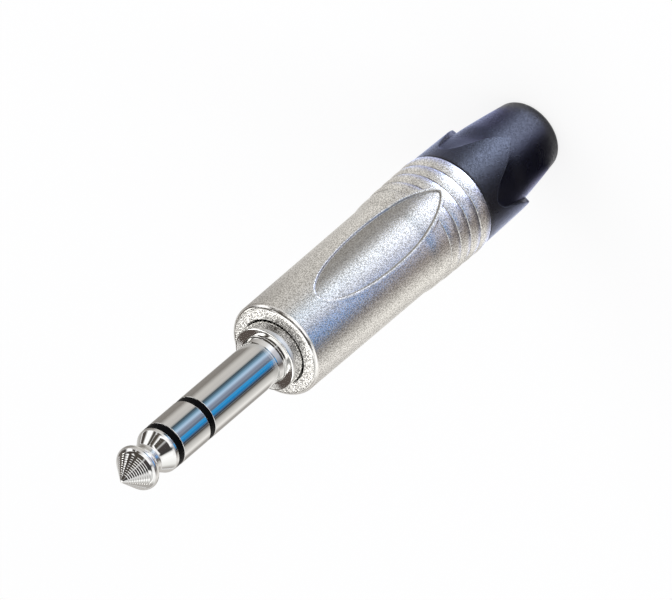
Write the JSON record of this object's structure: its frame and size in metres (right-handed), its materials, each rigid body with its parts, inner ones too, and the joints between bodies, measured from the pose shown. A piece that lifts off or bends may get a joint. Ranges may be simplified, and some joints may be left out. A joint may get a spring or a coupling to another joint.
{
  "type": "stereo jack plug",
  "caption": "Straight 6.35 mm jack plug with a pointed tip, ring and sleeve contacts, a satin metal shell with soft grip bands and a screw-on boot with petals.",
  "frame": {"origin": "centre of the boot's rim, which the plug stands on", "axes": "+Z along the plug, from the boot to the tip; -Y faces the oval that the picture shows"},
  "size_m": [0.0142, 0.0144, 0.089],
  "materials": {
    "nickel_polished": "nickel plate, polished, fine turning marks",
    "nickel_satin": "nickel plate on a blasted die casting, satin with a fine sparkle",
    "tinned_brass": "tinned, dull",
    "black_insulator": "black, glossy",
    "boot_plastic": "blue-black, soft satin",
    "chuck_plastic": "dark grey, moulded, matte"
  },
  "bodies": {
    "bushing": {"bushing": "boot_plastic"},
    "chuck": {"chuck": "chuck_plastic"},
    "shell": {"shell": "nickel_satin", "sleeve_contact": "nickel_polished", "ring_insulator": "black_insulator", "ring_contact": "nickel_polished", "tip_insulator": "black_insulator", "tip_contact": "nickel_polished", "ground_terminal": "tinned_brass", "terminal_carrier": "black_insulator", "ring_terminal": "tinned_brass", "rear_washer": "black_insulator", "tip_terminal": "tinned_brass"}
  },
  "joints": [
    {"name": "shell_turn", "type": "hinge", "parent": "bushing", "child": "chuck", "pos_m": [0, 0, 0], "axis": [0, 0, 1], "range_deg": [0, 2160]},
    {"name": "shell_rise", "type": "slide", "parent": "chuck", "child": "shell", "axis": [0, 0, 1], "range_m": [0, 0.006]}
  ],
  "couplings": [
    {"joint": "shell_turn", "follows": "shell_rise", "rad_per_m": 6283.2}
  ]
}
